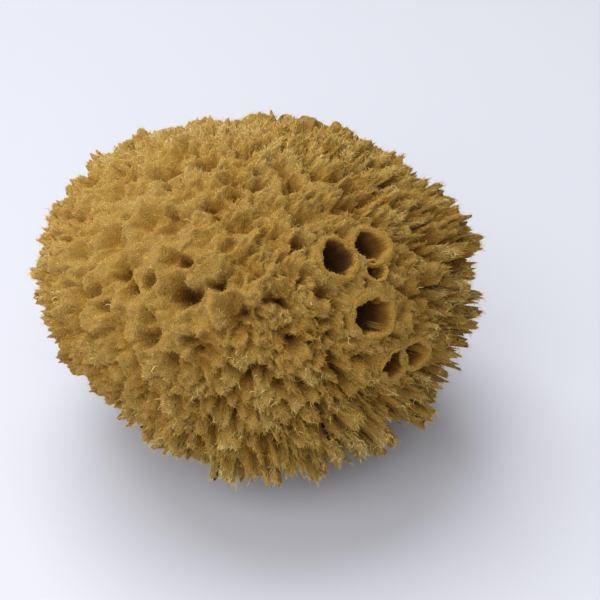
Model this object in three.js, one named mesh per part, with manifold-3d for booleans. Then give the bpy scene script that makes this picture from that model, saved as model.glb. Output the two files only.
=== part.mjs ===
// A natural bath sponge, dried: one grown piece, cut off flat where it sat on the rock.
// Millimetres, +Z up, +X along its longest side. The origin is on the cut, below the sponge's middle.
//
// The skin is star-shaped about the middle. It is a spherical Delaunay mesh of three kinds of point,
// each moved out to its own distance: the tips of the tufts, the clefts between them, and the collars,
// rims, walls and floors of the pores. A longitude runs from -Y (0) towards +X (90), and a latitude up
// from level, both in degrees.

import * as THREE from "three";
import { ConvexHull } from "three/addons/math/ConvexHull.js";
import { mergeVertices } from "three/addons/utils/BufferGeometryUtils.js";
import Module from "manifold-3d";

// Driving dimensions
const halfWidth = 75; // X, from the middle to the tips of the tufts
const halfDepth = 68; // Y
const halfHeight = 60; // Z, before the cut
const cutBelowMiddle = 51;
const tuftCount = 1040; // over the whole sphere, before the cut
const tuftNudge = 0.34; // how far a tuft is nudged from even spacing, as a share of that spacing
const tuftRidge = 3.4; // length of the flattened tip of one tuft
const tuftUneven = 3.6; // how far the tips differ in height
const tuftSlope = 0.3; // the share of that by which the two ends of one tip may differ
const tipsWorn = 2.4; // how far the tips are worn down on the worn patches
const cleftWorn = 4.2; // depth of the clefts on the worn patches
const cleftDeep = 11.5; // and on the shaggy flanks
const cleftPressed = 2.5; // and underneath, where the sponge sat on the rock
const cleftLower = 3; // how much deeper the clefts are low on the flanks
const lowBelow = -0.35; // sine of the latitude under which the flanks are wholly low
const lowStarts = 0.15; // and of that at which the low part starts
const pressedBelow = -0.92; // sine of the latitude under which the skin is wholly pressed
const shaggyAbove = -0.84; // and of that above which it isn't pressed at all
const rimSunk = 2.6; // a pore's rim, below the level of the tips
const collarSunk = 3.4; // the outer edge of the smooth collar round a pore
const collarReach = 1.45; // and its radius, as a multiple of the pore's
const tuftClear = 1.75; // the nearest that a tuft stands to a pore, as a multiple of its radius
const wornByPore = 2.6; // how far from a pore the tufts are worn, as a multiple of its radius
const wallReach = 0.8; // radius of a pore near its floor, as a share of that at the rim
const wallDeep = 0.8; // and how far down that is, as a share of its depth
const collarTwist = 0.5; // how far the collar's corners are turned from the rim's, in sides
const largePore = 6; // a pore wider than this has a rim of more sides
const largeSides = 9;
const smallSides = 7;
const spongeColour = 0xa67f3c;

// Swells and hollows of the whole form: where they are, how far they reach and how high they rise.
const swells = [
  { longitude: -60, latitude: -33, reach: 34, rise: -12.5 },
  { longitude: -112, latitude: 27, reach: 26, rise: 6 },
  { longitude: 100, latitude: 20, reach: 26, rise: 7.5 },
  { longitude: 140, latitude: 50, reach: 22, rise: 3.5 },
  { longitude: -18, latitude: 30, reach: 15, rise: 2 },
  { longitude: 20, latitude: 24, reach: 11, rise: -2.5 },
  { longitude: 42, latitude: 28, reach: 20, rise: 1.5 },
  { longitude: 205, latitude: 45, reach: 24, rise: 3 },
];

// Patches that are worn to a felt, with low tufts: the upper left of the front, round the big pores, on top,
// on the back, on the left side, and in the middle of the front. Each has its reach and how worn it is.
const wornPatches = [
  { longitude: -42, latitude: 48, reach: 50, most: 0.85 },
  { longitude: 44, latitude: 27, reach: 20, most: 0.8 },
  { longitude: 30, latitude: 62, reach: 28, most: 0.6 },
  { longitude: 155, latitude: 34, reach: 24, most: 0.9 },
  { longitude: -66, latitude: 0, reach: 36, most: 0.55 },
  { longitude: 2, latitude: 30, reach: 26, most: 0.45 },
];

// The pores that stand out: the big round ones on the right of the front, then the upper ones,
// the cluster on the left of the front, and those on the back.
const pores = [
  { longitude: 36, latitude: 42, across: 9.6, deep: 17 },
  { longitude: 51, latitude: 41, across: 9.0, deep: 15 },
  { longitude: 46, latitude: 35, across: 5.0, deep: 12 },
  { longitude: 39, latitude: 25, across: 10.4, deep: 20 },
  { longitude: 42, latitude: 10, across: 7.0, deep: 18 },
  { longitude: 49, latitude: 10, across: 6.6, deep: 16 },
  { longitude: 47, latitude: 70, across: 5.6, deep: 13 },
  { longitude: 73, latitude: 68, across: 5.8, deep: 12 },
  { longitude: 62, latitude: 52, across: 6.4, deep: 12 },
  { longitude: 73, latitude: 45, across: 4.6, deep: 10 },
  { longitude: -15, latitude: 74, across: 4.6, deep: 11 },
  { longitude: -16, latitude: 60, across: 4.6, deep: 11 },
  { longitude: 25, latitude: 50, across: 6.0, deep: 11 },
  { longitude: -19, latitude: 35, across: 9.0, deep: 15 },
  { longitude: -9, latitude: 40, across: 5.6, deep: 12 },
  { longitude: -23, latitude: 44, across: 5.0, deep: 10 },
  { longitude: -33, latitude: 36, across: 5.4, deep: 10 },
  { longitude: -46, latitude: 34, across: 5.6, deep: 12 },
  { longitude: -46, latitude: 25, across: 5.0, deep: 9 },
  { longitude: -15, latitude: 24, across: 4.8, deep: 10 },
  { longitude: 148, latitude: 36, across: 9.4, deep: 18 },
  { longitude: 166, latitude: 28, across: 7.4, deep: 15 },
  { longitude: 150, latitude: 18, across: 6.4, deep: 14 },
  { longitude: 214, latitude: 36, across: 8.6, deep: 16 },
  { longitude: 236, latitude: 22, across: 6.0, deep: 13 },
  { longitude: 110, latitude: 12, across: 6.2, deep: 13 },
  { longitude: 258, latitude: 48, across: 5.4, deep: 12 },
];

const radians = THREE.MathUtils.degToRad;
const middle = new THREE.Vector3(0, 0, cutBelowMiddle);

// A number from 0 to 1 that depends only on two whole numbers.
function scatter(index, series) {
  const wave = Math.sin(index * 12.9898 + series * 78.233) * 43758.5453;
  return wave - Math.floor(wave);
}

function direction(longitude, latitude) {
  const level = Math.cos(radians(latitude));
  const east = Math.sin(radians(longitude));
  const south = Math.cos(radians(longitude));
  return new THREE.Vector3(level * east, -level * south, Math.sin(radians(latitude)));
}

// Two unit vectors across a direction.
function across(way) {
  const reference = Math.abs(way.z) > 0.9 ? new THREE.Vector3(1, 0, 0) : new THREE.Vector3(0, 0, 1);
  const first = new THREE.Vector3().crossVectors(reference, way).normalize();
  return [first, new THREE.Vector3().crossVectors(way, first)];
}

// The direction reached by going from one direction to the side by a length at the skin.
function aside(way, length, turn) {
  const [first, second] = across(way);
  const angle = length / tipDistance(way);
  return way
    .clone()
    .multiplyScalar(Math.cos(angle))
    .addScaledVector(first, Math.sin(angle) * Math.cos(turn))
    .addScaledVector(second, Math.sin(angle) * Math.sin(turn));
}

// Distance from the middle to the level of the tips: an ellipsoid with the swells on it.
function tipDistance(way) {
  const { x, y, z } = way;
  const ellipsoid = 1 / Math.hypot(x / halfWidth, y / halfDepth, z / halfHeight);
  const swollen = swells.map(({ longitude, latitude, reach, rise }) => {
    const apart = way.angleTo(direction(longitude, latitude)) / radians(reach);
    return rise * Math.exp(-apart * apart);
  });
  return swollen.reduce((sum, rise) => sum + rise, ellipsoid);
}

// How worn the skin is: 1 in the middle of a worn patch or beside a pore, falling to 0 away from them.
function wear(way) {
  const worn = wornPatches.map(({ longitude, latitude, reach, most }) => {
    const apart = way.angleTo(direction(longitude, latitude)) / radians(reach);
    return most * Math.exp(-apart * apart * apart);
  });
  const besidePore = 1 - THREE.MathUtils.smoothstep(poreReach(way, pores), tuftClear, wornByPore);
  return Math.max(besidePore, ...worn);
}

// How deep the clefts are: shallow on the worn patches and underneath, deep on the flanks, deepest low down.
function cleftDepth(way) {
  const low = 1 - THREE.MathUtils.smoothstep(way.z, lowBelow, lowStarts);
  const depth = THREE.MathUtils.lerp(cleftDeep + cleftLower * low, cleftWorn, wear(way));
  const flank = THREE.MathUtils.smoothstep(way.z, pressedBelow, shaggyAbove);
  return THREE.MathUtils.lerp(cleftPressed, depth, flank);
}

// Length along the skin from the middle of the nearest of some pores, as a multiple of its radius.
function poreReach(way, some) {
  const reaches = some.map(({ longitude, latitude, across: width }) => {
    const length = way.angleTo(direction(longitude, latitude)) * tipDistance(way);
    return length / (width / 2);
  });
  return Math.min(...reaches);
}

// Evenly spread directions on a golden spiral from the top down, each nudged a little.
function tuftDirections() {
  const goldenTurn = Math.PI * (3 - Math.sqrt(5));
  const spacing = Math.sqrt((4 * Math.PI) / tuftCount) * halfDepth;
  return Array.from({ length: tuftCount }, (_, index) => {
    const rise = 1 - (2 * index + 1) / tuftCount;
    const level = Math.sqrt(1 - rise * rise);
    const turn = index * goldenTurn;
    const even = new THREE.Vector3(level * Math.sin(turn), -level * Math.cos(turn), rise);
    return aside(even, spacing * tuftNudge * scatter(index, 1), 2 * Math.PI * scatter(index, 2));
  });
}

// Triangles between directions on the unit sphere, as triples of indices facing out.
function delaunay(ways) {
  const places = ways.map((way) => way.clone().normalize());
  const numbers = new Map(places.map((place, index) => [place, index]));
  return new ConvexHull().setFromPoints(places).faces.map((face) => {
    const edges = [face.edge, face.edge.next, face.edge.next.next];
    return edges.map((edge) => numbers.get(edge.head().point));
  });
}

// The ridge of one tuft: two tips a little way apart, at their own heights.
function tuftTips(way, index) {
  const turn = Math.PI * scatter(index, 3);
  return [0, Math.PI].map((half, end) => {
    const tip = aside(way, tuftRidge / 2, turn + half);
    const worn = wear(tip);
    const slope = tuftSlope * scatter(index, 5 + end);
    const uneven = tuftUneven * scatter(index, 4) * (1 - tuftSlope + slope) * (1 - worn / 2);
    return { way: tip, distance: tipDistance(tip) - tipsWorn * worn - uneven };
  });
}

// One pore: a collar, a rim, a wall that narrows a little, and a floor. Its collar stops at other pores.
function porePoints(pore) {
  const { longitude, latitude, across: width, deep } = pore;
  const axis = direction(longitude, latitude);
  const others = pores.filter((other) => other !== pore);
  const sides = width > largePore ? largeSides : smallSides;
  const ring = (reach, sunk, twist) =>
    Array.from({ length: sides }, (_, side) => {
      const way = aside(axis, (reach * width) / 2, (2 * Math.PI * (side + twist)) / sides);
      return { way, distance: tipDistance(way) - sunk };
    });
  const collar = ring(collarReach, collarSunk, collarTwist);
  return [
    ...collar.filter(({ way }) => poreReach(way, others) > collarReach),
    ...ring(1, rimSunk, 0),
    ...ring(wallReach, rimSunk + deep * wallDeep, 0),
    { way: axis, distance: tipDistance(axis) - rimSunk - deep },
  ];
}

// The whole skin before the cut, as one closed geometry about the middle.
function skinGeometry() {
  const clearOfPores = ({ way }) => poreReach(way, pores) > tuftClear;
  const tufts = tuftDirections();
  const clefts = delaunay(tufts).map((corners) => {
    const way = new THREE.Vector3();
    corners.forEach((corner) => way.add(tufts[corner]));
    way.normalize();
    return { way, distance: tipDistance(way) - cleftDepth(way) };
  });
  const tips = tufts.flatMap(tuftTips);
  const skin = [
    ...tips.filter(clearOfPores),
    ...clefts.filter(clearOfPores),
    ...pores.flatMap(porePoints),
  ];
  const positions = skin.flatMap(({ way, distance }) =>
    way.clone().normalize().multiplyScalar(distance).add(middle).toArray(),
  );
  const geometry = new THREE.BufferGeometry();
  geometry.setAttribute("position", new THREE.Float32BufferAttribute(positions, 3));
  geometry.setIndex(delaunay(skin.map(({ way }) => way)).flat());
  return geometry;
}

const wasm = await Module();
wasm.setup();

function toSolid(geometry) {
  const vertProperties = new Float32Array(geometry.getAttribute("position").array);
  const triVerts = new Uint32Array(geometry.index.array);
  return new wasm.Manifold(new wasm.Mesh({ numProp: 3, vertProperties, triVerts }));
}

// A block that reaches from the cut down past the lowest tuft.
function blockBelowCut() {
  const side = 4 * halfWidth;
  const block = new THREE.BoxGeometry(side, side, side).translate(0, 0, -side / 2);
  block.deleteAttribute("normal");
  block.deleteAttribute("uv");
  return mergeVertices(block);
}

function toGeometry(solid) {
  const { vertProperties, triVerts } = solid.getMesh();
  const geometry = new THREE.BufferGeometry();
  geometry.setAttribute("position", new THREE.BufferAttribute(vertProperties, 3));
  geometry.setIndex(new THREE.BufferAttribute(triVerts, 1));
  geometry.computeVertexNormals();
  return geometry;
}

function sponge() {
  const cut = toSolid(skinGeometry()).subtract(toSolid(blockBelowCut()));
  const material = new THREE.MeshStandardMaterial({ color: spongeColour, roughness: 0.95, metalness: 0 });
  const mesh = new THREE.Mesh(toGeometry(cut), material);
  mesh.name = "sponge";
  return mesh;
}

const seaSponge = new THREE.Group();
seaSponge.name = "sea_sponge";
seaSponge.add(sponge());

export default seaSponge;
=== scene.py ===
# A natural bath sponge: leaning tufts and worn felt, lined pores, fine fuzz and pale curled threads.

import itertools
import math

import bpy
import numpy as np
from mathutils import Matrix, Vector


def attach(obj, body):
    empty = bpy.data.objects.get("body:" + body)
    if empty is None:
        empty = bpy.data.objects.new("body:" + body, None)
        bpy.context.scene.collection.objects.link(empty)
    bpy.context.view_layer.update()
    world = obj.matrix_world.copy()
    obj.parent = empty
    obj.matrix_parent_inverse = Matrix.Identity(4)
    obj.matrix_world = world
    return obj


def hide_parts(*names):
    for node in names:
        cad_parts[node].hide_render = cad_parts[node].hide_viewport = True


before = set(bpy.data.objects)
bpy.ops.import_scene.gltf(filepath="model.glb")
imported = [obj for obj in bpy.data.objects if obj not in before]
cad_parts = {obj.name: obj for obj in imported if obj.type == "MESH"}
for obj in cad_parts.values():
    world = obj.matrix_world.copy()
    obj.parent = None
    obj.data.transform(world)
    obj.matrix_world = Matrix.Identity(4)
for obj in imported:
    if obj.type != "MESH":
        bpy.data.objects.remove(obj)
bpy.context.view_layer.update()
mm = 0.001  # sizes below are in millimetres, and the meshes are in metres
print("frame loaded:", sorted(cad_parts))

# The whole form. Places on it are a longitude from -Y (0) towards +X (90) and a latitude up from level.
form = {
    "halfWidth": 75.0,
    "halfDepth": 68.0,
    "halfHeight": 60.0,
    "middleHeight": 51.0,  # of the middle above the cut underneath
    "swells": [  # longitude, latitude, reach in degrees, rise
        (-60, -33, 34, -12.5), (-112, 27, 26, 6.0), (100, 20, 26, 7.5), (140, 50, 22, 3.5),
        (-18, 30, 15, 2.0), (20, 24, 11, -2.5), (42, 28, 20, 1.5), (205, 45, 24, 3.0),
    ],
    "wornPatches": [  # place, reach, how worn
        (-42, 48, 52, 0.97), (44, 27, 20, 0.8), (30, 62, 33, 0.85), (155, 34, 24, 0.9),
        (-56, 4, 32, 0.75), (2, 30, 26, 0.6), (-150, 70, 34, 0.4),
    ],
    "pressed": (-0.92, -0.84),  # sines of the latitudes where the pressed underside ends and shag starts
    "low": (-0.15, 0.35),  # sines, counted downwards, between which the low part starts
    # Painted light and shade: the side facing this place, where the light falls, is made paler, and the far
    # side darker down to a least share.
    "litSideAt": (-88, 60),  # where the fibres are palest
    "litSideLeast": -0.5,
}

# Tufts: blunt columns of uneven width and height, three tips to each, with clefts between them.
tufts = {
    "count": 1500,
    "nudge": 0.45,  # as a share of the spacing
    "tips": 3,
    "tipSpread": 1.5,  # from a tuft's middle to its tips, on average
    "width": (0.32, 0.6),  # a tuft's radius, narrowest and widest, as a share of the spacing
    "flank": (0.55, 1.15),  # where a tuft's flank starts and ends, as multiples of its radius
    "uneven": 4.6,  # how far the lowest tufts end under the highest, on shaggy skin and on worn felt
    "unevenWorn": 0.5,
    "tipsWorn": 2.4,  # how far worn felt lies under the level of the tips
    "cleftDeep": 10.5,  # depth of the clefts on shaggy skin, on worn felt and underneath
    "cleftWorn": 0.8,
    "cleftPressed": 2.5,
    "parted": [  # place, reach in degrees, how much deeper the clefts and slimmer the tufts are
        (82, 5, 46, 5.0, 0.3), (20, -30, 45, 2.5, 0.1), (-102, 8, 34, 2.0, 0.3),
    ],
    "lean": 7.5,
    "leanFrom": (-20, 42),  # the tufts lean away from this longitude and latitude
    "leanAway": 0.8,  # share of the lean that does so, and share that is random
    "leanStray": 0.3,
    "leanOut": (-0.8, -0.3),  # sines of the latitudes below which they lean out along the floor
    "leanShag": 1.5,  # powers by which the lean falls towards worn felt and towards a tuft's foot
    "leanRise": 0.7,
    "lowSlim": 0.36,  # how much slimmer the tufts low down are, and how much deeper their clefts
    "lowDeep": 5.0,
    "slimmest": 0.64,
    "frayed": 0.3,  # share of the tufts with pale, frayed ends, and how many more low down
    "lowFrayed": 0.25,
    "plainPale": 0.3,  # how pale the ends of the other tufts are, as a share
    "paleDepth": 3.5,  # depth by which the pale ends fade
    "endsAlike": 0.7,  # how far the ends of low tufts are as pale as those of high ones
}

# Holes: longitude, latitude, width, depth.
pores = {
    "round": [  # with a clean rim in smooth felt
        (36, 42, 11.4, 17), (51, 41, 10.6, 15), (46, 35, 5.8, 12), (39, 25, 11.4, 20),
        (42, 10, 9.0, 18), (49, 10, 8.6, 16),
        (148, 36, 10.4, 18), (166, 28, 8.2, 15), (150, 18, 7.2, 14), (214, 36, 9.6, 16),
    ],
    "wall": (1.04, 1.2),  # where the hole for a pore's lining starts and ends, as multiples of its radius
    "spareDepth": 2.0,  # how much deeper than its pore that hole is
    "collar": (1.12, 1.6),  # where its smooth felt gives way to tufts
    "rimSunk": 1.8,
    # Painted shade on a pore's rim: its colour is taken from deeper down the ramp than the rim lies.
    "rimShade": 0.9,  # how much deeper a rim looks than it is
    "wornAround": (1.3, 2.6, 0.8),  # where the felt around a pore ends, and how worn it is
    "pits": [  # soft, bent out of round, with no rim
        (47, 70, 5.6, 8), (73, 68, 5.8, 8), (62, 52, 6.4, 9), (73, 45, 4.6, 7),
        (-15, 74, 4.6, 8), (-16, 60, 4.6, 8), (25, 50, 6.0, 10), (-19, 35, 9.0, 12), (-9, 40, 5.6, 10),
        (-23, 44, 5.0, 7), (-33, 36, 5.4, 8), (-46, 34, 5.6, 9), (-46, 25, 5.0, 8), (-15, 24, 4.8, 8),
        (236, 22, 6.0, 9), (110, 12, 6.2, 9), (258, 48, 5.4, 9),
        (-72, 88, 8.0, 4), (-77, 79, 8.0, 4), (-101, 69, 7.0, 4), (-76, 64, 8.5, 5), (-81, 60, 7.0, 5),
        (-7, 70, 3.4, 7), (-24, 63, 3.4, 6), (-14, 60, 3.0, 6), (18, 79, 3.6, 6),
        (-40, 33, 4.4, 6), (-28, 21, 4.8, 5), (-7, 51, 6.5, 4),
        (15, 23, 4.4, 9), (19, 22, 4.4, 9), (1, 14, 4.8, 9), (9, 13, 4.8, 8), (21, -2, 5.0, 9),
        (-17, 7, 5.2, 8), (78, 61, 6.6, 5), (52, 28, 3.0, 7), (41, 34, 2.8, 6), (43, 18, 2.8, 6),
        (8, 35, 3.6, 5), (13, 34, 3.4, 5), (28, 9, 3.4, 7), (21, 7, 4.2, 8), (-54, 23, 5.0, 5),
        (1, 31, 3.6, 5), (31, 4, 4.8, 8), (-13, 21, 3.6, 6),
    ],
    "pitWall": (0.25, 1.2),  # where a pit's wall starts and ends, as multiples of its radius
}

goldenTurn = math.pi * (3 - math.sqrt(5))
middle = np.array([0.0, 0.0, form["middleHeight"]])
scatterSteps = (12.9898, 78.233)  # of the sine's angle, for each index and each series
scatterHeight = 43758.5453
slopeCount = 4096  # a power of two
latticeSteps = (73856093, 19349663, 83492791)  # primes that mix a corner's place to one number
noiseHeight = 1.6  # brings the noise to about -1 to 1
nearUpright = 0.9
blockSize = 4096  # directions handled at a time
tiny = 1e-9


# Vectors divided by their lengths.
def unit(vectors):
    return vectors / np.linalg.norm(vectors, axis=-1, keepdims=True)


# 0 below low, 1 above high, and an S-curve between: three squares less two cubes of the share.
def smoothStep(values, low, high):
    share = np.clip((values - low) / (high - low), 0, 1)
    return share * share * (3 - 2 * share)


# A number from 0 to 1 for each index and series: the fraction of a large sine.
def scatter(index, series):
    wave = np.sin(index * scatterSteps[0] + series * scatterSteps[1]) * scatterHeight
    return wave - np.floor(wave)


# Numbers between two ends, by the scatter of a series.
def scatterBetween(count, series, ends):
    return np.interp(scatter(np.arange(count), series), (0, 1), ends)


# Random numbers between two ends. A power above 1 makes more of them small.
def drawBetween(random, count, ends, power=1):
    return np.interp(random.random(count) ** power, (0, 1), ends)


# A bell curve: 1 at no distance, falling by e to the square of the distance over the reach.
def bell(distance, reach):
    return np.exp(-((distance / reach) ** 2))


# Unit vector from the middle: the longitude turns -Y towards +X, and the latitude raises it.
def directionOf(longitude, latitude):
    lon, lat = np.radians(longitude), np.radians(latitude)
    return np.stack([np.cos(lat) * np.sin(lon), -np.cos(lat) * np.cos(lon), np.sin(lat)], -1)


# Gradient noise, about -1 to 1: a random slope at each corner of a cubic lattice, mixed by quintic ramps.
def latticeNoise(places, size, seed):
    slopes = unit(np.random.default_rng(seed).normal(size=(slopeCount, 3)))
    spots = places / size
    cells = np.floor(spots).astype(np.int64)
    parts = spots - cells
    ramps = parts**3 * (parts * (6 * parts - 15) + 10)
    total = np.zeros(len(places))
    for corner in itertools.product((0, 1), repeat=3):
        keys = (cells + corner) * latticeSteps
        slope = slopes[(keys[:, 0] ^ keys[:, 1] ^ keys[:, 2]) & (slopeCount - 1)]
        weight = np.prod(np.where(corner, ramps, 1 - ramps), axis=1)
        total += weight * np.sum(slope * (parts - corner), axis=1)
    return noiseHeight * total


# Noise with noise of half the size and half the height on it.
def layeredNoise(places, size, seed):
    return sum(latticeNoise(places, size / 2**k, seed + k) / 2**k for k in range(2))


# Angle between each direction and one place on the sponge, in radians.
def angleFrom(ways, longitude, latitude):
    return np.arccos(np.clip(ways @ directionOf(longitude, latitude), -1, 1))


# How near each direction is to a place: the bell curve of their angle over a reach in degrees.
def nearness(ways, longitude, latitude, reach):
    return bell(angleFrom(ways, longitude, latitude), math.radians(reach))


# Distance from the middle to the level of the tips: an ellipsoid plus a bell curve for each swell.
def tipDistance(ways):
    halves = [form[key] for key in ("halfWidth", "halfDepth", "halfHeight")]
    level = 1 / np.linalg.norm(ways / halves, axis=-1)
    for *place, rise in form["swells"]:
        level = level + rise * nearness(ways, *place)
    return level


# Two unit vectors across each direction: the cross product of Z, or X near Z, with it, and one across both.
def acrossVectors(ways):
    reference = np.where(np.abs(ways[:, 2:]) > nearUpright, (1.0, 0.0, 0.0), (0.0, 0.0, 1.0))
    first = unit(np.cross(reference, ways))
    return first, np.cross(ways, first)


# Directions reached by going to the side by a length at the skin, at a turn about each direction.
def aside(ways, lengths, turns):
    first, second = acrossVectors(ways)
    angles = (lengths / tipDistance(ways))[:, None]
    turns = turns[:, None]
    return ways * np.cos(angles) + np.sin(angles) * (first * np.cos(turns) + second * np.sin(turns))


# Evenly spread directions on a golden spiral from the top down, each nudged by a share of the spacing.
def spiralDirections(count, nudge, series):
    index = np.arange(count)
    rise = 1 - (2 * index + 1) / count
    level = np.sqrt(1 - rise * rise)
    turn = index * goldenTurn
    even = np.stack([level * np.sin(turn), -level * np.cos(turn), rise], axis=1)
    spacing = math.sqrt(4 * math.pi / count) * form["halfDepth"]
    return aside(even, spacing * nudge * scatter(index, series), 2 * math.pi * scatter(index, series + 1))


# For each direction the nearest centre and its distance, counted in that centre's own reach (an angle).
# A centre may have several points, and the closest of them counts.
def nearestCentre(ways, centres, reaches):
    points = centres.reshape(-1, 3).T.astype(np.float32)
    scales = np.repeat(2 / reaches**2, centres.shape[1]).astype(np.float32)
    nearest = np.zeros(len(ways), np.int64)
    square = np.zeros(len(ways))
    for start in range(0, len(ways), blockSize):
        block = slice(start, start + blockSize)
        apart = (1 - ways[block].astype(np.float32) @ points) * scales
        nearest[block] = apart.argmin(axis=1)
        square[block] = apart.min(axis=1)
    return nearest // centres.shape[1], np.sqrt(np.maximum(square, 0))


# How worn the skin is: 1 in the middle of a worn patch, falling to 0 outside it by the cube of the distance.
def wornShare(ways):
    worn = np.zeros(len(ways))
    for longitude, latitude, reach, most in form["wornPatches"]:
        apart = angleFrom(ways, longitude, latitude) / math.radians(reach)
        worn = np.maximum(worn, most * np.exp(-(apart**3)))
    return worn


# How far a direction is in the low part: 0 above the middle, 1 well below it.
def lowShare(ways):
    return smoothStep(-ways[:, 2], *form["low"])


# How much painted light a direction gets: twice the cube of how far it faces the place made palest, where the
# light falls, less 1, down to a limit.
def litSideShare(ways):
    facing = 0.5 + 0.5 * ways @ directionOf(*form["litSideAt"])
    return np.maximum(2 * facing**3 - 1, form["litSideLeast"])


tuftIndex = np.arange(tufts["count"])
tuftSpacing = math.sqrt(4 * math.pi / tufts["count"])  # an angle
tuftWays = spiralDirections(tufts["count"], tufts["nudge"], series=1)
tuftSpread = tufts["tipSpread"] * (0.5 + scatter(tuftIndex, series=7))
tuftTips = np.stack(
    [
        aside(tuftWays, tuftSpread, 2 * math.pi * (scatter(tuftIndex, series=3) + tip / tufts["tips"]))
        for tip in range(tufts["tips"])
    ],
    axis=1,
)
tuftReach = tuftSpacing * scatterBetween(tufts["count"], 6, tufts["width"])
tuftSlim = 1 - tufts["lowSlim"] * lowShare(tuftWays)
for *place, _, slimmer in tufts["parted"]:
    tuftSlim -= slimmer * nearness(tuftWays, *place)
tuftReach *= np.maximum(tuftSlim, tufts["slimmest"])
tuftFirst, tuftSecond = acrossVectors(tuftWays)
leanTurn = 2 * math.pi * scatter(tuftIndex, series=8)[:, None]
tuftLean = tufts["leanStray"] * (tuftFirst * np.cos(leanTurn) + tuftSecond * np.sin(leanTurn))
leanCentre = directionOf(*tufts["leanFrom"])
leanCosine = (tuftWays @ leanCentre)[:, None]
tuftLean += (tuftWays * leanCosine - leanCentre) * tufts["leanAway"]
tuftLean[:, 2] *= smoothStep(tuftWays[:, 2], *tufts["leanOut"])
frayedShare = tufts["frayed"] + tufts["lowFrayed"] * lowShare(tuftWays)
frayedTufts = scatter(tuftIndex, series=31) < frayedShare

# Locks: the ragged lobes that the tufts end in.
locks = {
    "count": 8400,
    "nudge": 0.5,
    "width": (0.8, 1.25),  # reach of a lock, as a multiple of half the spacing
    "uneven": 1.4,
    "groove": 3.6,
    "flank": (0.4, 1.3),  # where a lock's flank starts and ends, as multiples of its reach
    "onFelt": 0.06,  # how much of both is left on worn felt
    "lowDeep": 0.8,  # how much deeper both are low down
    "parted": [(82, 5, 48, 1.6), (-102, 8, 34, 0.9)],  # place, reach, and how much deeper both are there
    "warp": (0.6, 1.7),  # height and size of noise that bends the grooves
}
lockHalf = math.sqrt(math.pi / locks["count"])  # half the spacing, an angle
lockWays = spiralDirections(locks["count"], locks["nudge"], series=11)
lockReach = lockHalf * scatterBetween(locks["count"], 14, locks["width"])

# Bowls: wide, shallow hollows in the worn felt, with thin ridges between them.
bowls = {
    "count": 400,
    "nudge": 0.5,
    "width": (8.0, 16.0),
    "deep": (1.8, 6.2),
    "wall": (0.15, 1.05),  # where a bowl's wall starts and ends, as multiples of its radius
}
bowlWays = spiralDirections(bowls["count"], bowls["nudge"], series=51)
bowlReach = scatterBetween(bowls["count"], 53, bowls["width"]) / 2 / form["halfDepth"]
bowlDeep = scatterBetween(bowls["count"], 54, bowls["deep"])

# The skin: noise given by height and size, and a scatter of small pits.
bodySkin = {
    "gridSteps": 128,  # along each side of the six grids
    "uvMargin": 0.02,
    "inset": 0.3,  # how far the felt stays under the level of the tips
    "warp": (1.8, 5.0),  # bends the clefts
    "lumps": (2.2, 14.0),
    "lumpsOnTufts": 0.4,  # shares of the lumps that tufts have, and that a pore's rim lacks
    "lumpsOffRim": 0.6,
    "grain": (0.6, 2.2),
    "grainOnFelt": 0.2,  # shares of the grain that worn felt has, and that a pore's rim lacks
    "grainOffRim": 0.5,
    "pitCount": 520,
    "pitNudge": 0.4,
    "pitShare": 0.5,
    "pitDepth": 5.0,
    "pitWidth": (2.8, 8.0),
    "pitWall": (0.3, 1.1),
    "cutHoles": (3.5, 5.0),  # depth and size of the holes in the cut, and the noise at their edges
    "cutHoleEdge": (0.12, 0.5),
    "cutReach": 90.0,
}
pitWays = spiralDirections(bodySkin["pitCount"], bodySkin["pitNudge"], series=24)
pitReach = scatterBetween(bodySkin["pitCount"], 21, bodySkin["pitWidth"]) / 2 / form["halfDepth"]


# Six square grids on a cube, bent to a sphere by tan, with shared points along the edges.
# Gives directions, quads facing out (a block for each grid), and each quad corner's place on its grid.
def sphereGrid(steps):
    span = np.arange(steps)
    u, v = (x.ravel() for x in np.meshgrid(span, span, indexing="ij"))
    spots, tiles = [], []
    for axis, end in itertools.product(range(3), (0, 1)):
        order = ((0, 0), (1, 0), (1, 1), (0, 1))[:: 2 * end - 1]
        for du, dv in order:
            spot = np.zeros((len(u), 3), np.int64)
            spot[:, axis] = end * steps
            spot[:, (axis + 1) % 3] = u + du
            spot[:, (axis + 2) % 3] = v + dv
            spots.append(spot)
            tiles.append(np.stack([u + du, v + dv], axis=1) / steps)
    spots = np.concatenate(spots)
    keys = (spots[:, 0] * (steps + 1) + spots[:, 1]) * (steps + 1) + spots[:, 2]
    first, inverse = np.unique(keys, return_index=True, return_inverse=True)[1:]
    ways = unit(np.tan((spots[first] * (2 / steps) - 1) * math.pi / 4))
    quads = inverse.reshape(6, 4, -1).transpose(0, 2, 1)
    return ways, quads, np.array(tiles).reshape(6, 4, -1, 2).transpose(0, 2, 1, 3)


# Depth of the holes for the pores' linings, and the shares of rim and of worn felt around them: each a smooth
# step of the distance from a pore's axis in its radii.
def poreDepths(ways, tip):
    deep, collar, near = np.zeros((3, len(ways)))
    start, end, most = pores["wornAround"]
    for longitude, latitude, width, depth in pores["round"]:
        reach = angleFrom(ways, longitude, latitude) * tip / (width / 2)
        hole = (depth + pores["spareDepth"]) * (1 - smoothStep(reach, *pores["wall"]))
        deep = np.maximum(deep, hole)
        collar = np.maximum(collar, 1 - smoothStep(reach, *pores["collar"]))
        near = np.maximum(near, most * (1 - smoothStep(reach, start, end)))
    return deep, collar, near


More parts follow.
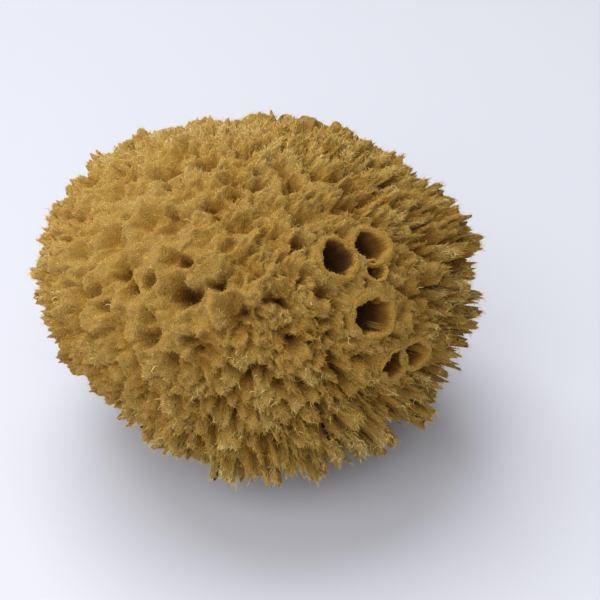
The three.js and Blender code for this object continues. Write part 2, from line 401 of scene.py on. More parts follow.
# Depth of the soft pits: a rounded hollow for each one listed, and a scatter of small ones.
def pitDepths(bent, tip):
    deep = np.zeros(len(bent))
    for longitude, latitude, width, depth in pores["pits"]:
        reach = angleFrom(bent, longitude, latitude) * tip / (width / 2)
        deep = np.maximum(deep, depth * (1 - smoothStep(reach, *pores["pitWall"])))
    pit, reach = nearestCentre(bent, pitWays[:, None], pitReach)
    depth = bodySkin["pitDepth"] * scatter(pit, series=22) * (scatter(pit, series=23) < bodySkin["pitShare"])
    return np.maximum(deep, depth * (1 - smoothStep(reach, *bodySkin["pitWall"])))


# Depth of the bowls: each a rounded hollow that reaches to its neighbours.
def bowlDepths(bent):
    bowl, reach = nearestCentre(bent, bowlWays[:, None], bowlReach)
    return bowlDeep[bowl] * (1 - smoothStep(reach, *bowls["wall"]))


# How far each lock's top lies under the tuft's, and the depth of the grooves between the locks.
def lockDepths(bent, spots):
    warpHigh, warpSize = locks["warp"]
    warp = np.stack([latticeNoise(spots, warpSize, 41 + k) for k in range(3)], axis=1)
    warped = unit(bent * form["halfDepth"] + warpHigh * warp)
    lock, reach = nearestCentre(warped, lockWays[:, None], lockReach)
    groove = locks["groove"] * smoothStep(reach, *locks["flank"])
    return locks["uneven"] * scatter(lock, series=12), groove


# The body's skin: the tip distance less the depths of tufts, clefts, locks, bowls, grain, pits and pores,
# no further out than the cut, and then leaning by tuft.
def bodyFields(ways):
    tip = tipDistance(ways)
    spots = ways * tip[:, None]
    deep, collar, near = poreDepths(ways, tip)
    worn = np.maximum(wornShare(ways), near)
    loose = smoothStep(ways[:, 2], *form["pressed"])
    shag = (1 - worn) * (1 - collar)
    low = lowShare(ways)
    warpHigh, warpSize = bodySkin["warp"]
    warp = np.stack([layeredNoise(spots, warpSize, 31 + 5 * k) for k in range(3)], axis=1)
    bent = unit(spots + warpHigh * warp)
    # tufts and the clefts between them
    tuft, reach = nearestCentre(bent, tuftTips, tuftReach)
    rise = 1 - smoothStep(reach, *tufts["flank"])
    shaggyCleft = tufts["cleftDeep"] + tufts["lowDeep"] * low
    cleft = tufts["cleftWorn"] * (1 - shag) + shaggyCleft * shag
    cleft = (loose * cleft + (1 - loose) * tufts["cleftPressed"]) * (1 - collar)
    for *place, deeper, _ in tufts["parted"]:
        cleft += deeper * shag * loose * nearness(ways, *place)
    uneven = tufts["unevenWorn"] * (1 - shag) + tufts["uneven"] * shag
    drop = uneven * (1 - (1 - scatter(tuft, series=4)) ** 2) * (1 - collar)
    # level of the felt
    lumpHigh, lumpSize = bodySkin["lumps"]
    lumpHigh = lumpHigh * (bodySkin["lumpsOnTufts"] + (1 - bodySkin["lumpsOnTufts"]) * worn)
    top = bodySkin["inset"] * np.ones(len(ways))
    top += tufts["tipsWorn"] * worn + pores["rimSunk"] * collar
    top -= lumpHigh * layeredNoise(spots, lumpSize, seed=61) * (1 - bodySkin["lumpsOffRim"] * collar)
    # locks on the tufts
    parted = 1 + locks["lowDeep"] * low
    for *place, deeper in locks["parted"]:
        parted += deeper * nearness(ways, *place)
    lockShare = (locks["onFelt"] + (1 - locks["onFelt"]) * shag) * parted * (1 - collar)
    lockDrop, groove = lockDepths(bent, spots)
    drop += lockDrop * lockShare
    # depth under that level
    below = drop + cleft * (1 - rise) + groove * lockShare + bowlDepths(bent) * worn * (1 - near)
    grainHigh, grainSize = bodySkin["grain"]
    grain = grainHigh * layeredNoise(spots, grainSize, seed=81)
    grain = grain * (bodySkin["grainOnFelt"] + (1 - bodySkin["grainOnFelt"]) * shag)
    below -= grain * (1 - bodySkin["grainOffRim"] * collar)
    below = np.maximum(below, 0) + pitDepths(bent, tip) * loose * (1 - collar)
    full = cleft + uneven + (locks["uneven"] + locks["groove"]) * parted
    high = np.clip(1 - below / full, 0, 1)
    below = np.maximum(below, deep)
    radius = tip - top - below
    # the holed cut underneath
    limit = form["middleHeight"] / np.maximum(-ways[:, 2], tiny)
    onCut = (ways[:, 2] < 0) & (radius > limit)
    holeDeep, holeSize = bodySkin["cutHoles"]
    cutPlaces = ways * limit.clip(0, bodySkin["cutReach"])[:, None]
    holes = holeDeep * smoothStep(layeredNoise(cutPlaces, holeSize, seed=91), *bodySkin["cutHoleEdge"])
    radius = np.where(onCut, limit - holes, radius)
    # the lean
    places = middle + ways * radius[:, None]
    leaning = tufts["lean"] * shag ** tufts["leanShag"] * loose * ~onCut
    leaning = leaning * rise ** tufts["leanRise"] * high
    places += tuftLean[tuft] * leaning[:, None]
    places[:, 2] = np.maximum(places[:, 2], 0)
    # The colour depth is painted shade: depth under the felt, less part of a low tuft's drop, plus the rim's
    # share, darkens the colour in clefts, pits and pores.
    shadeDepth = np.maximum(below - tufts["endsAlike"] * drop, 0) + pores["rimShade"] * collar
    return {
        "places": places, "shadeDepth": shadeDepth, "shag": shag * loose, "tuft": tuft,
        "sunk": tip - radius, "onCut": onCut, "deep": deep, "felt": tip - top,
    }


# An object in the scene that shows some data.
def addObject(name, data):
    thing = bpy.data.objects.new(name, data)
    bpy.context.scene.collection.objects.link(thing)
    return thing


# A mesh object in metres from points, faces of one size, a UV for each face corner and values for each point.
def makePiece(name, places, faces, cornerUv, values, material):
    mesh = bpy.data.meshes.new(name)
    mesh.vertices.add(len(places))
    mesh.vertices.foreach_set("co", (places * mm).astype(np.float32).ravel())
    sides = faces.shape[1]
    mesh.loops.add(faces.size)
    mesh.loops.foreach_set("vertex_index", faces.astype(np.int32).ravel())
    mesh.polygons.add(len(faces))
    mesh.polygons.foreach_set("loop_start", np.arange(0, faces.size, sides, dtype=np.int32))
    mesh.polygons.foreach_set("loop_total", np.full(len(faces), sides, np.int32))
    mesh.polygons.foreach_set("use_smooth", np.ones(len(faces), bool))
    layer = mesh.uv_layers.new(name="OFBake")
    layer.data.foreach_set("uv", cornerUv.astype(np.float32).ravel())
    for key, numbers in values.items():
        kind, field = ("FLOAT", "value") if numbers.ndim == 1 else ("FLOAT_VECTOR", "vector")
        attribute = mesh.attributes.new(key, kind, "POINT")
        attribute.data.foreach_set(field, numbers.astype(np.float32).ravel())
    mesh.update(calc_edges=True)
    mesh.validate()
    mesh.materials.append(material)
    piece = addObject(name, mesh)
    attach(piece, "root")
    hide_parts("sponge")
    print(name, len(places), "points", len(faces) * (sides - 2), "triangles")


# Gives each named socket of a node its link or its fixed value.
def setSockets(tree, node, sockets):
    for socket, source in sockets.items():
        if hasattr(source, "links"):
            tree.links.new(source, node.inputs[socket])
        else:
            node.inputs[socket].default_value = source


# A node of a kind, with its settings first and its sockets after them.
def addNode(tree, kind, sockets=None, **settings):
    node = tree.nodes.new(kind)
    for key, value in settings.items():
        setattr(node, key, value)
    setSockets(tree, node, sockets or {})
    return node


# A value worked out from others by one operation.
def mathNode(tree, operation, *sources):
    return addNode(tree, "ShaderNodeMath", dict(enumerate(sources)), operation=operation).outputs[0]


# A value kept for each point of the mesh.
def pointNode(tree, name, output="Fac"):
    return addNode(tree, "ShaderNodeAttribute", attribute_name=name).outputs[output]


# A colour that runs through stops, each a position and a colour, as a factor goes from 0 to 1.
def rampNode(tree, factor, stops):
    node = addNode(tree, "ShaderNodeValToRGB", {0: factor})
    elements = node.color_ramp.elements
    while len(elements) < len(stops):
        elements.new(0.5)
    for element, (position, colour) in zip(elements, stops):
        element.position = position
        element.color = (*colour, 1)
    return node.outputs["Color"]


# A colour mixed from two by a factor: the first at 0 and the second at 1.
def mixNode(tree, factor, first, second):
    sockets = {"Factor": factor, 6: first, 7: second}  # 6 and 7 are the two colours
    return addNode(tree, "ShaderNodeMix", sockets, data_type="RGBA").outputs[2]


# A material with one shader that goes to its surface.
def newMaterial(name):
    material = bpy.data.materials.new(name)
    material.use_nodes = True
    tree = material.node_tree
    tree.nodes.clear()
    shader = addNode(tree, "ShaderNodeBsdfPrincipled")
    addNode(tree, "ShaderNodeOutputMaterial", {"Surface": shader.outputs["BSDF"]})
    return material, tree, shader


bodyLook = {
    # The stops darken with depth: partly the sponge's own deeper brown, partly painted shade in clefts, pits
    # and pores, near black at the deepest.
    "stops": [  # share of the darkest depth, colour
        (0.0, (0.59, 0.355, 0.079)),
        (0.18, (0.59, 0.330, 0.057)),
        (0.42, (0.52, 0.258, 0.031)),
        (0.7, (0.34, 0.145, 0.015)),
        (1.0, (0.13, 0.042, 0.004)),
    ],
    "darkestAt": 16.0,  # depth
    "paleEnds": (0.82, 0.585, 0.18),
    "blotches": {"Scale": 90.0, "Detail": 4.0},  # per metre
    "blotchShare": 0.3,  # how far the blotches shift the colour along its stops
    "net": {"Scale": 1.5, "Detail": 2.0},  # per millimetre across the strands
    "netAlong": 0.45,  # how much of that scale there is along them
    "netShades": {"From Min": 0.25, "From Max": 0.85, "To Min": 0.54, "To Max": 1.4},
    "netBump": {"Strength": 0.9, "Distance": 0.001},
    # Painted light: how much lighter the side facing the light is made.
    "paintedLight": 0.12,  # how much lighter the bleached side is
    "shader": {
        "Roughness": 0.95, "Specular IOR Level": 0.15, "Sheen Weight": 0.03, "Sheen Roughness": 0.6,
        "Subsurface Weight": 0.5, "Subsurface Radius": (1.0, 0.6, 0.2), "Subsurface Scale": 0.0014,
    },
}


# The ramp's colour at the depth plus blotches, mixed with pale ends, times the shade of a ridged net of noise
# and painted light.
# The depth darkens the ramp as painted shade in clefts, pits and pores, partly the sponge's own deeper brown;
# the painted light makes the upper left side lighter and the far side darker. The net also makes the bumps.
def bodyMaterial():
    material, tree, shader = newMaterial("sponge_body")
    coords = addNode(tree, "ShaderNodeTexCoord")
    blotches = {"Vector": coords.outputs["Object"], **bodyLook["blotches"]}
    blotch = addNode(tree, "ShaderNodeTexNoise", blotches).outputs["Fac"]
    shift = mathNode(tree, "SUBTRACT", blotch, 0.5)
    depth = mathNode(tree, "MULTIPLY_ADD", shift, bodyLook["blotchShare"], pointNode(tree, "depth"))
    colour = rampNode(tree, depth, bodyLook["stops"])
    ends = mixNode(tree, pointNode(tree, "pale"), colour, (*bodyLook["paleEnds"], 1))
    strands = {"Vector": pointNode(tree, "strand", "Vector"), **bodyLook["net"]}
    ridges = {"noise_type": "RIDGED_MULTIFRACTAL", "normalize": True}
    net = addNode(tree, "ShaderNodeTexNoise", strands, **ridges).outputs["Fac"]
    shade = addNode(tree, "ShaderNodeMapRange", {"Value": net, **bodyLook["netShades"]}).outputs["Result"]
    # Painted light: the colour is made lighter on the upper left side and darker on the far side.
    paintedLightFactor = mathNode(tree, "MULTIPLY_ADD", pointNode(tree, "paintedLight"), bodyLook["paintedLight"], 1.0)
    lit = mathNode(tree, "MULTIPLY", shade, paintedLightFactor)
    tinted = addNode(tree, "ShaderNodeVectorMath", {0: ends, "Scale": lit}, operation="SCALE")
    bump = addNode(tree, "ShaderNodeBump", {"Height": net, **bodyLook["netBump"]})
    made = {"Base Color": tinted.outputs["Vector"], "Normal": bump.outputs["Normal"]}
    setSockets(tree, shader, {**made, **bodyLook["shader"]})
    return material


fibreLook = {
    "rootStops": [  # tone, colour
        (0.0, (0.18, 0.070, 0.007)),
        (0.35, (0.48, 0.228, 0.022)),
        (0.65, (0.68, 0.392, 0.052)),
        (1.0, (0.78, 0.560, 0.155)),
    ],
    "tipStops": [
        (0.0, (0.26, 0.110, 0.012)),
        (0.35, (0.61, 0.325, 0.038)),
        (0.65, (0.83, 0.515, 0.074)),
        (1.0, (0.95, 0.790, 0.380)),
    ],
    "shader": {
        "Roughness": 0.85, "Specular IOR Level": 0.2, "Sheen Weight": 0.03, "Sheen Roughness": 0.5,
    },
}


# The colours of a fibre's root and tip at its tone, which is U, mixed along the fibre, which is V.
def fibreMaterial():
    material, tree, shader = newMaterial("sponge_strands")
    uv = addNode(tree, "ShaderNodeUVMap", uv_map="OFBake")
    parts = addNode(tree, "ShaderNodeSeparateXYZ", {0: uv.outputs["UV"]})
    root = rampNode(tree, parts.outputs["X"], fibreLook["rootStops"])
    tip = rampNode(tree, parts.outputs["X"], fibreLook["tipStops"])
    colour = mixNode(tree, parts.outputs["Y"], root, tip)
    setSockets(tree, shader, {"Base Color": colour, **fibreLook["shader"]})
    return material


gridWays, gridQuads, gridTiles = sphereGrid(bodySkin["gridSteps"])
skin = bodyFields(gridWays)
endsPale = tufts["plainPale"] + (1 - tufts["plainPale"]) * frayedTufts[skin["tuft"]]
skin["pale"] = endsPale * skin["shag"] * bell(skin["shadeDepth"], tufts["paleDepth"])
print("skin worked out")
bodyStuff = bodyMaterial()


# Two triangles for each quad.
def splitQuads(quads):
    return np.concatenate([quads[:, [0, 1, 2]], quads[:, [0, 2, 3]]])


# Place of each grid's corners on the body's UV map: three grids across and two up, a little apart.
def tileUv(tiles):
    side = np.arange(len(tiles))
    corner = np.stack([side % 3, side // 3], axis=1)[:, None, None]
    margin = bodySkin["uvMargin"]
    return (corner + margin + (1 - 2 * margin) * tiles) / (3, 2)


# Depth as a share of the darkest, 0 to 1, for the colour, which darkens with it as painted shade.
def colourDepth(shadeDepth):
    return np.clip(shadeDepth / bodyLook["darkestAt"], 0, 1)


# What fibres need to know of a mesh: points, triangles, and for each point the direction that they follow,
# how far, how deep in painted shade, how many and how frayed they are. A triangle's weight is twice its area
# times how many.
def surfaceOf(places, triangles, axis, follow, shadeDepth, share, frayed):
    corners = places[triangles]
    cross = np.cross(corners[:, 1] - corners[:, 0], corners[:, 2] - corners[:, 0])
    double = np.linalg.norm(cross, axis=1)
    return {
        "places": places, "triangles": triangles, "axis": axis, "follow": follow, "shadeDepth": shadeDepth,
        "frayed": frayed, "normal": cross / np.maximum(double, tiny)[:, None],
        "weight": double * share[triangles].mean(axis=1),
    }


# Where the fuzz grows.
spread = {
    "onFelt": 0.6,  # number on worn felt, and how many more on tufts
    "moreOnTufts": 0.8,
    "thinsAt": 9.0,  # depth at which it is thin, on the body and on the linings
    "liningThinsAt": 8.0,
    "holeFrom": 1.0,  # depth of a lining's hole from which the body has none
    "lowBelow": -0.72,  # sine of the latitude below which some is missing, and the share that is
    "lowMissing": 0.9,
    "leanShare": 0.8,  # how far fibres lean with their tuft
    "follow": 0.85,  # how far those on tufts keep to that direction
}

bodyTriangles = splitQuads(gridQuads.reshape(-1, 4))
bodyValues = {
    # Painted shade: this depth darkens the body's colour in clefts, pits and pores.
    "depth": colourDepth(skin["shadeDepth"]),
    "pale": skin["pale"],
    # Painted light on the upper left side, for the colour.
    "paintedLight": litSideShare(gridWays),
    "strand": gridWays * (form["halfDepth"] - bodyLook["netAlong"] * skin["sunk"])[:, None],
}
bodyUv = splitQuads(tileUv(gridTiles).reshape(-1, 4, 2)).reshape(-1, 2)
makePiece("body", skin["places"], bodyTriangles, bodyUv, bodyValues, bodyStuff)
bodyShare = (spread["onFelt"] + spread["moreOnTufts"] * skin["shag"]) * ~skin["onCut"]
bodyShare *= skin["deep"] < spread["holeFrom"]
bodyShare *= bell(skin["shadeDepth"], spread["thinsAt"])
bodyShare *= 1 - spread["lowMissing"] * (gridWays[:, 2] < spread["lowBelow"])
bodySurface = surfaceOf(
    skin["places"],
    bodyTriangles,
    unit(gridWays + spread["leanShare"] * tuftLean[skin["tuft"]] * skin["shag"][:, None]),
    spread["follow"] * skin["shag"],
    skin["shadeDepth"],
    bodyShare,
    skin["pale"],
)

# Linings: a cup of felt in each pore, its flange under the felt around it. Places out along the section are
# multiples of the pore's radius, and heights are from the level of the felt.
lining = {
    "sides": 36,
    "wallRings": 9,
    "floorRings": 4,
    "floorHigh": 0.5,  # most of the depth that the rounded floor takes up
    "narrowing": 0.22,  # of the wall towards the floor, and the power by which it grows
    "narrowPower": 1.5,
    "bulge": 0.05,
    "lip": 0.7,
    "rimOut": (1.02, 1.07, 1.16, 1.26),
    "rimUp": (-0.7, -0.4, -0.3, -0.5),
    "flange": 1.36,
    "flangeUp": -1.3,
    "thick": 0.8,
    "backOut": 1.6,  # how far behind the wall the back starts, in thicknesses, and how high
    "backUp": -3.0,
    "smoothWaves": 4,  # waves of the felt's level that the rim follows, and depths where that stops
    "levelFrom": (0.0, 4.0),
    "ragged": (0.26, 3.2),  # height and size of the noise on the inside, and where on the rim it ends
    "raggedTo": (1.07, 1.26),
    "rough": (0.35, 2.4),
    # Painted shade inside the pores: the colour is taken as much deeper than the wall lies, starting past the
    # rim.
    "shade": 8.0,  # how much deeper the inside looks than it is, and the depths between which that starts
    "shadeFrom": (0.9, 3.2),
    "uvMargin": (0.01, 0.04),
}


# Radius (in pore radii) and height along a pore's section, from the floor's middle up the wall, over the
# rim, out to the flange's edge and back under it: a quarter turn, a wall that narrows and bulges, and a rim.
def poreSection(radius, depth):
    thick = lining["thick"] / radius
    lip = lining["lip"]
    turn = np.linspace(0, math.pi / 2, lining["floorRings"] + 1)[1:]
    down = np.linspace(1, 0, lining["wallRings"])
    foot = 1 - lining["narrowing"]
    bowl = min(lining["floorHigh"] * depth, radius)
    floorOut = foot * np.sin(turn)
    floorUp = -depth + bowl * (1 - np.cos(turn))
    wallOut = 1 - lining["narrowing"] * down ** lining["narrowPower"]
    wallOut = wallOut + lining["bulge"] * np.sin(math.pi * down)
    wallUp = -lip - (depth - bowl - lip) * down
    rimOut = [*lining["rimOut"], lining["flange"], lining["flange"]]
    rimUp = [*lining["rimUp"], lining["flangeUp"], lining["flangeUp"] - lining["thick"]]
    backOut = [1 + lining["backOut"] * thick, foot + thick]
    backUp = [lining["backUp"], -depth + bowl]
    out = np.concatenate([floorOut, wallOut[1:], rimOut, backOut])
    up = np.concatenate([floorUp, wallUp[1:], rimUp, backUp])
    return out, up


# A section turned about the pore's axis, with a point in the middle at each end.
def liningArrays(longitude, latitude, width, depth):
    radius = width / 2
    centre = directionOf(longitude, latitude)[None]
    first, second = acrossVectors(centre)
    reach = tipDistance(centre)
    sides = lining["sides"]
    turns = np.arange(sides) * 2 * math.pi / sides
    around = first * np.cos(turns)[:, None] + second * np.sin(turns)[:, None]
    edge = lining["flange"] * radius / reach
    level = bodyFields(np.cos(edge) * centre + np.sin(edge) * around)["felt"]
    waves = np.fft.rfft(level)
    waves[lining["smoothWaves"]:] = 0
    level = np.fft.irfft(waves, sides)
    out, up = poreSection(radius, depth)
    raggedHigh, raggedSize = lining["ragged"]
    inside = centre * form["halfDepth"] + around * radius
    ragged = raggedHigh * layeredNoise(inside, raggedSize, seed=71)
    ragged = 1 + ragged * (1 - smoothStep(out, *lining["raggedTo"]))[:, None]
    angle = (out[:, None] * radius * ragged / reach)[:, :, None]
    ways = np.cos(angle) * centre + np.sin(angle) * around
    sunk = smoothStep(-up, *lining["levelFrom"])[:, None]
    height = level * (1 - sunk) + level.mean() * sunk + up[:, None]
    places = (ways * height[:, :, None]).reshape(-1, 3)
    roughHigh, roughSize = lining["rough"]
    places += roughHigh * layeredNoise(places, roughSize, seed=77)[:, None] * np.tile(around, (len(out), 1))
    ends = centre * np.array([[level.mean() - depth], [level.mean() - depth - lining["thick"]]])
    places = middle + np.concatenate([places, ends])
    ring = np.arange(sides)
    step = (ring + 1) % sides
    rows = np.arange(len(out) - 1)[:, None] * sides
    bands = np.stack([rows + ring, rows + sides + ring, rows + sides + step, rows + step], axis=2)
    last = (len(out) - 1) * sides
    poles = len(out) * sides
    floor = np.stack([np.full(sides, poles), ring, step], axis=1)
    under = np.stack([last + step, last + ring, np.full(sides, poles + 1)], axis=1)
    triangles = np.concatenate([splitQuads(bands.reshape(-1, 4)), floor, under])
    shadeDepth = np.repeat(np.maximum(-up, 0), sides)
    shadeDepth = np.concatenate([shadeDepth, [depth, depth]])
    # Painted shade: the rim's and the inside's extra depth darken the lining's colour.
    shadeDepth = pores["rimShade"] + shadeDepth + lining["shade"] * smoothStep(shadeDepth, *lining["shadeFrom"])
    return places, triangles, shadeDepth, liningUv(len(out), sides)


# UV of each triangle's corners on one lining: across by the turn, up by the row, the middles at the ends.
def liningUv(count, sides):
    turn = np.arange(sides)
    row = np.arange(count - 1)[:, None]
    spots = [(turn, row), (turn, row + 1), (turn + 1, row + 1), (turn + 1, row)]
    bands = [np.stack(np.broadcast_arrays(*spot), axis=2) for spot in spots]
    bands = np.stack(bands, axis=2).reshape(-1, 4, 2)
    flat = np.zeros(sides)
    floor = [(turn + 0.5, flat - 1), (turn, flat), (turn + 1, flat)]
    under = [(turn + 1, flat + count - 1), (turn, flat + count - 1), (turn + 0.5, flat + count)]
    fans = [np.stack([np.stack(spot, axis=1) for spot in fan], axis=1) for fan in (floor, under)]
    return (np.concatenate([splitQuads(bands), *fans]) + (0, 1)) / (sides, count + 1)


# The pores' arrays one after another, each in a band of its own on the UV map.
def joinLinings(parts):
    starts = np.cumsum([0] + [len(part[0]) for part in parts[:-1]])
    places = np.concatenate([part[0] for part in parts])
    triangles = np.concatenate([part[1] + start for part, start in zip(parts, starts)])
    shadeDepth = np.concatenate([part[2] for part in parts])
    margin = np.array(lining["uvMargin"])
    bands = [(0, band) + margin + (1 - 2 * margin) * part[3] for band, part in enumerate(parts)]
    uv = np.concatenate(bands) / (1, len(parts))
    return places, triangles, shadeDepth, uv.reshape(-1, 2)


liningParts = [liningArrays(*pore) for pore in pores["round"]]
liningPlaces, liningTriangles, liningShadeDepth, liningSpots = joinLinings(liningParts)
liningWays = unit(liningPlaces - middle)
liningValues = {"depth": colourDepth(liningShadeDepth), "strand": liningWays * form["halfDepth"]}
makePiece("pore_linings", liningPlaces, liningTriangles, liningSpots, liningValues, bodyStuff)
liningSurface = surfaceOf(
    liningPlaces,
    liningTriangles,
    liningWays,
    np.zeros(len(liningPlaces)),
    liningShadeDepth,
    bell(liningShadeDepth, spread["liningThinsAt"]),
    np.zeros(len(liningPlaces)),
)


# Random roots on a surface: triangles drawn by weight, and a random place in each.
def drawRoots(surface, count, random):
    total = np.cumsum(surface["weight"])
    chosen = np.searchsorted(total, random.random(count) * total[-1])
    corners = surface["triangles"][chosen]
    shares = np.sort(random.random((count, 2)), axis=1)
    shares = np.stack([shares[:, 0], shares[:, 1] - shares[:, 0], 1 - shares[:, 1]], axis=1)
    known = {key: np.sum(surface[key][corners] * shares, axis=1) for key in ("follow", "shadeDepth", "frayed")}
    known["root"] = np.sum(surface["places"][corners] * shares[:, :, None], axis=1)
    known["axis"] = unit(np.sum(surface["axis"][corners] * shares[:, :, None], axis=1))
    known["normal"] = surface["normal"][chosen]
    return known


# What all fibres share.
fibres = {
    "lowest": 0.15,  # height that no point of a fibre is under
    "tones": (0.02, 0.97),
    "toneStep": 0.004,  # between a fibre's points across the UV map
    "rootUv": 0.02,  # V of a fibre's root and of its tip
    "tipUv": 0.98,
}

# Pale curled threads on the ends of the frayed tufts.
threads = {
    "count": 4200,
    "length": (1.2, 3.2),
    "lengthPower": 1.5,
    "width": (0.2, 0.32),
    "rings": [(0.0, 0.5), (1 / 3, 0.45), (2 / 3, 0.36)],  # place along the thread, radius in widths
    "ringUv": (0.34, 0.67),
    "curl": 0.3,  # radius of the curl, as a share of the length
    "turn": (2.0, 5.5),
    "stray": 0.5,
    "rootSunk": 0.4,
    "tone": 0.95,
    "toneStray": 0.06,
    "frayedPower": 2,  # by which they keep to the most frayed skin
    "seed": 5,
}


# Three unit vectors around each direction, a third of a turn apart.
def threeAround(ways):
    first, second = acrossVectors(ways)
    turns = np.arange(3) * 2 * math.pi / 3
    return first[:, None] * np.cos(turns)[:, None] + second[:, None] * np.sin(turns)[:, None]


# Points, faces and UV of many like fibres, from rows of points (fibre, point, XYZ): U by tone and point, and
# V by row.
def joinFibres(rows, template, heights, tone):
    points = np.concatenate(rows, axis=1)
    count, size = points.shape[:2]
    places = points.reshape(-1, 3)
    places[:, 2] = np.maximum(places[:, 2], fibres["lowest"])
    faces = (np.arange(count)[:, None, None] * size + np.array(template)).reshape(-1, 3)
    pointU = np.append(np.arange(size - 1) % 3, 1) * fibres["toneStep"]
    pointV = np.repeat(heights, [row.shape[1] for row in rows])
    uv = np.stack([tone[:, None] + pointU, np.broadcast_to(pointV, (count, size))], axis=2)
    return places, faces, uv.reshape(-1, 2)[faces].reshape(-1, 2)


# Curled threads with three sides: root + length t way + curl (first (cos w - 1) + second sin w), where w is
# the turn at t, with rings at thirds of the length and a point at the end.
def curlArrays(root, way, length, width, turn, tone):
    first, second = acrossVectors(way)
    ring = threeAround(way)
    curl = (length * threads["curl"])[:, None]
    rows = []
    for share, thick in [*threads["rings"], (1, 0)]:
        angle = (share * turn)[:, None]
        bend = first * (np.cos(angle) - 1) + second * np.sin(angle)
        centre = root + way * (share * length)[:, None] + curl * bend
        rows.append(centre[:, None] + ring * (thick * width)[:, None, None])
    rows[-1] = rows[-1][:, :1]
    template = [(0, 2, 1)]
    for low, k in itertools.product((0, 3), range(3)):
        step = (k + 1) % 3
        template += [(low + k, low + step, low + 3 + step), (low + k, low + 3 + step, low + 3 + k)]
    template += [(6 + k, 6 + (k + 1) % 3, 9) for k in range(3)]
    heights = (fibres["rootUv"], *threads["ringUv"], fibres["tipUv"])
    return joinFibres(rows, template, heights, tone)


# Straight fibres, each a slim pyramid on a triangular root: the root's ring, and root + length way.
def fibreArrays(root, way, length, width, tone):
    base = root[:, None] + threeAround(way) * (0.5 * width)[:, None, None]
    tip = root + length[:, None] * way
    template = [(0, 2, 1), (0, 1, 3), (1, 2, 3), (2, 0, 3)]
    return joinFibres([base, tip[:, None]], template, (fibres["rootUv"], fibres["tipUv"]), tone)


fibreStuff = fibreMaterial()

# Fine fibres. Pairs named by follow are a start, and what is added as fibres follow their tuft.
fuzz = {
    "bodyCount": 43000,  # in each of the body's pieces
    "bodyLength": (0.9, 2.4),
    "bodySeeds": (9, 11, 12, 13),
    "liningCount": 4600,
    "liningLength": (0.7, 1.9),
    "liningSeed": 10,
    "width": (0.17, 0.28),
    "upright": 0.5,  # how far loose fibres stand up and stray
    "loose": 0.7,
    "followUpright": 0.25,  # how far the others stand up, and how far all stray
    "stray": 0.3,
    "rootSunk": 0.3,
    "lengthTop": 1.1,  # share of the length at no depth, how much of it is lost per depth, and its least
    "lengthLoss": 0.05,
    "lengthLeast": 0.5,
    "lengthByFollow": (0.85, 0.55),
    "widthByFollow": (0.66, 0.3),
    "toneByFollow": (0.745, 0.05),
    # Painted shade: fibres darken the deeper they stand.
    "toneLossByFollow": (0.033, 0.018),  # per depth
    "toneStray": 0.09,
    "toneFrayed": 0.32,
    # Painted light: fibres on the upper left side are made paler.
    "toneLitSide": 0.2,
}


# A pair's start plus its other number times how far each fibre follows its tuft.
def byFollow(key, follow):
    start, more = fuzz[key]
    return start + more * follow


# Each fibre's way runs from the skin's normal to the direction that its surface gives, with a random part.
# Its tone falls with depth as painted shade, rises where the skin is frayed, and rises on the upper left side
# as painted light.
def makeFuzz(name, surface, count, lengths, seed):
    random = np.random.default_rng(seed)
    known = drawRoots(surface, count, random)
    follow = known["follow"]
    share = follow[:, None]
    stray = random.normal(size=known["axis"].shape)
    loose = fuzz["upright"] * known["normal"] + fuzz["loose"] * stray
    way = (1 - share) * loose + share * known["axis"]
    way = unit(way + fuzz["followUpright"] * share * known["normal"] + fuzz["stray"] * stray)
    lengthShare = fuzz["lengthTop"] - fuzz["lengthLoss"] * known["shadeDepth"]
    length = drawBetween(random, count, lengths) * np.clip(lengthShare, fuzz["lengthLeast"], 1)
    length *= byFollow("lengthByFollow", follow)
    width = drawBetween(random, count, fuzz["width"]) * byFollow("widthByFollow", follow)
    # Painted shade: the tone falls with depth.
    tone = byFollow("toneByFollow", follow) - byFollow("toneLossByFollow", follow) * known["shadeDepth"]
    tone += fuzz["toneStray"] * random.normal(size=count)
    tone += fuzz["toneFrayed"] * known["frayed"]
    # Painted light: paler on the upper left side.
    tone += fuzz["toneLitSide"] * litSideShare(unit(known["root"] - middle))
    root = known["root"] - fuzz["rootSunk"] * way
    arrays = fibreArrays(root, way, length, width, np.clip(tone, *fibres["tones"]))
    makePiece(name, *arrays, {}, fibreStuff)


for number, seed in enumerate(fuzz["bodySeeds"], 1):
    makeFuzz(f"body_fuzz_{number}", bodySurface, fuzz["bodyCount"], fuzz["bodyLength"], seed)
makeFuzz("lining_fuzz", liningSurface, fuzz["liningCount"], fuzz["liningLength"], fuzz["liningSeed"])


# Threads with roots where the skin is frayed, each along its tuft's direction plus a random part.
def makeThreads():
    random = np.random.default_rng(threads["seed"])
    count = threads["count"]
    frayed = skin["pale"][bodySurface["triangles"]].mean(axis=1)
    weight = bodySurface["weight"] * frayed ** threads["frayedPower"]
    known = drawRoots({**bodySurface, "weight": weight}, count, random)
    root = known["root"]
    way = unit(known["axis"] + threads["stray"] * random.normal(size=root.shape))
    turn = drawBetween(random, count, threads["turn"])
    length = drawBetween(random, count, threads["length"], threads["lengthPower"])
    width = drawBetween(random, count, threads["width"])
    tone = threads["tone"] + threads["toneStray"] * random.normal(size=count)
    tone = np.clip(tone, *fibres["tones"])
    arrays = curlArrays(root - threads["rootSunk"] * way, way, length, width, turn, tone)
    makePiece("frayed_threads", *arrays, {}, fibreStuff)


makeThreads()

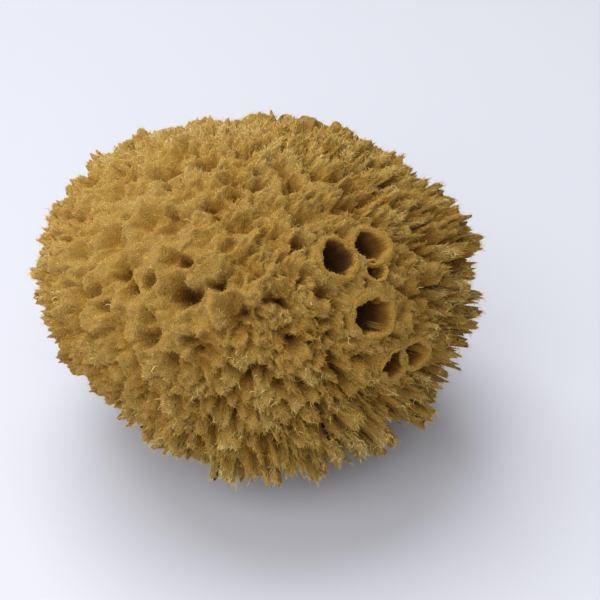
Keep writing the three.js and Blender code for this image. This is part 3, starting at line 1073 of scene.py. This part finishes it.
# The stage, in metres and watts.
stageLook = {
    "floorSide": 30.0,
    "floor": {"Base Color": (0.64, 0.655, 0.74, 1), "Roughness": 0.6},
    "lamps": [  # name, power, size, place
        ("key", 32.0, 2.0, (-0.4, -1.45, 1.4)),
        ("top", 34.0, 1.6, (-0.5, 0.65, 1.9)),
        ("fill", 10.8, 1.6, (-1.8, -0.2, 0.6)),
    ],
    "world": {"Color": (1.0, 0.97, 0.9, 1), "Strength": 0.23},
}


# A square on the ground about the origin.
def makeFloor():
    half = stageLook["floorSide"] / 2
    mesh = bpy.data.meshes.new("floor")
    corners = [(-half, -half, 0), (half, -half, 0), (half, half, 0), (-half, half, 0)]
    mesh.from_pydata(corners, [], [(0, 1, 2, 3)])
    material, tree, shader = newMaterial("pale_floor")
    setSockets(tree, shader, stageLook["floor"])
    mesh.materials.append(material)
    floor = addObject("floor", mesh)


# Square lamps that face the sponge's middle, and an even light all round.
def makeLights():
    for name, power, size, place in stageLook["lamps"]:
        light = bpy.data.lights.new(name, "AREA")
        light.energy = power
        light.size = size
        lamp = addObject(name, light)
        lamp.location = place
        lamp.rotation_euler = (lamp.location - Vector(middle * mm)).to_track_quat("Z", "Y").to_euler()
    world = bpy.data.worlds.new("studio")
    bpy.context.scene.world = world
    world.use_nodes = True
    setSockets(world.node_tree, world.node_tree.nodes["Background"], stageLook["world"])


cameraView = {
    "elevation": 35.0,
    "distance": 0.42,
    "metresPerPixel": 0.000331,  # at the sponge's middle
    "pictureWidth": 600,
    "offset": (48, 2),  # pixels from the sponge's middle to the picture's
}


# A camera back from its aim by the distance, with the lens that gives the picture its width there.
def makeCamera():
    data = bpy.data.cameras.new("camera")
    camera = addObject("camera", data)
    angle = math.radians(cameraView["elevation"])
    back = np.array([0, -math.cos(angle), math.sin(angle)])
    up = np.array([0, math.sin(angle), math.cos(angle)])
    across, along = (x * cameraView["metresPerPixel"] for x in cameraView["offset"])
    aim = middle * mm + (across, 0, 0) + up * along
    camera.location = aim + back * cameraView["distance"]
    camera.rotation_euler = Vector(-back).to_track_quat("-Z", "Y").to_euler()
    seen = cameraView["metresPerPixel"] * cameraView["pictureWidth"]
    data.lens = data.sensor_width * cameraView["distance"] / seen
    bpy.context.scene.camera = camera


makeFloor()
makeLights()
makeCamera()
bpy.context.scene.view_settings.view_transform = "Standard"
print("stage set")
